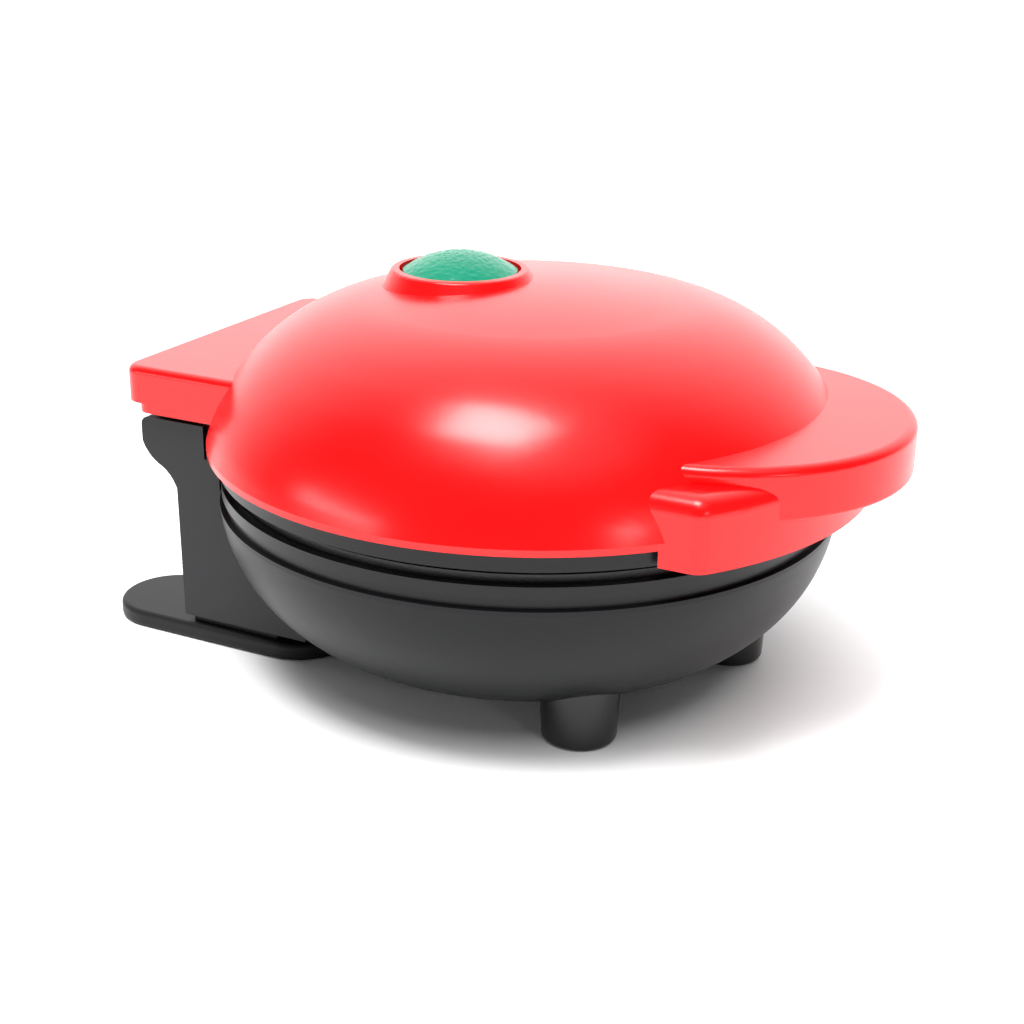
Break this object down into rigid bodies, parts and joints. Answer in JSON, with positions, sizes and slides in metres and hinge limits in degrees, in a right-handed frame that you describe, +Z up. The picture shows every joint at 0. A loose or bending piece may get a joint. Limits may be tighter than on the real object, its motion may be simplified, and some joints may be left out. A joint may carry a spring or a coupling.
{
  "type": "donut maker",
  "caption": "Small round electric donut maker with a hinged domed lid, crescent handle, ring cavities in both plates, bowl base, front feet and a rear stand.",
  "frame": {"origin": "on the floor plane, under the middle of the whole machine", "axes": "+Z up, +Y from the handle at the front towards the hinge at the rear, +X to the right seen from the front"},
  "size_m": [0.15, 0.1904, 0.0954],
  "materials": {
    "red_shell": "glossy red moulded shell",
    "green_lens": "translucent green lens with a pebbled face",
    "white_plastic": "plain white moulding",
    "lamp_glass": "clear neon lamp",
    "black_ring": "black moulded ring",
    "coated_plate": "die-cast aluminium with a dark non-stick coat",
    "heater_steel": "sheathed heater tube",
    "bright_sheet": "pressed bright sheet",
    "screw_steel": "zinc plated screws",
    "black_bowl": "dark grey satin-gloss bowl",
    "brown_ceramic": "brown ceramic",
    "lead_sheath": "black sheathed lead",
    "black_foot": "glossy black foot",
    "stand_plastic": "dark grey satin stand",
    "black_rubber": "black rubber bush",
    "pin_steel": "plain steel pin",
    "black_arm": "black moulded arm"
  },
  "bodies": {
    "base": {"base_bowl": "black_bowl", "base_ring": "black_ring", "lower_plate": "coated_plate", "lower_heater": "heater_steel", "lower_reflector": "bright_sheet", "base_ring_screws": "screw_steel", "lower_post_screw": "screw_steel", "thermostat": "brown_ceramic", "thermal_fuse": "brown_ceramic", "terminal_block": "white_plastic", "lead_clamp": "white_plastic", "inner_lead": "lead_sheath", "front_foot_left": "black_foot", "front_foot_middle": "black_foot", "front_foot_right": "black_foot", "foot_screws": "screw_steel", "rear_stand": "stand_plastic", "stand_pad_left": "stand_plastic", "stand_pad_right": "stand_plastic", "pad_screws": "screw_steel", "stand_screws": "screw_steel", "cord_gland": "black_rubber", "hinge_pin": "pin_steel"},
    "lid": {"lid_shell": "red_shell", "indicator_lens": "green_lens", "lamp_cup": "white_plastic", "indicator_lamp": "lamp_glass", "lid_ring": "black_ring", "upper_plate": "coated_plate", "upper_heater": "heater_steel", "upper_reflector": "bright_sheet", "lid_ring_screws": "screw_steel", "upper_post_screw": "screw_steel", "hinge_arm_left": "black_arm", "hinge_arm_right": "black_arm", "hinge_arm_screws": "screw_steel"}
  },
  "joints": [
    {"name": "lid_hinge", "type": "hinge", "parent": "base", "child": "lid", "pos_m": [0, 0.07315, 0.0515], "axis": [-1, 0, 0], "range_deg": [0, 100]}
  ]
}
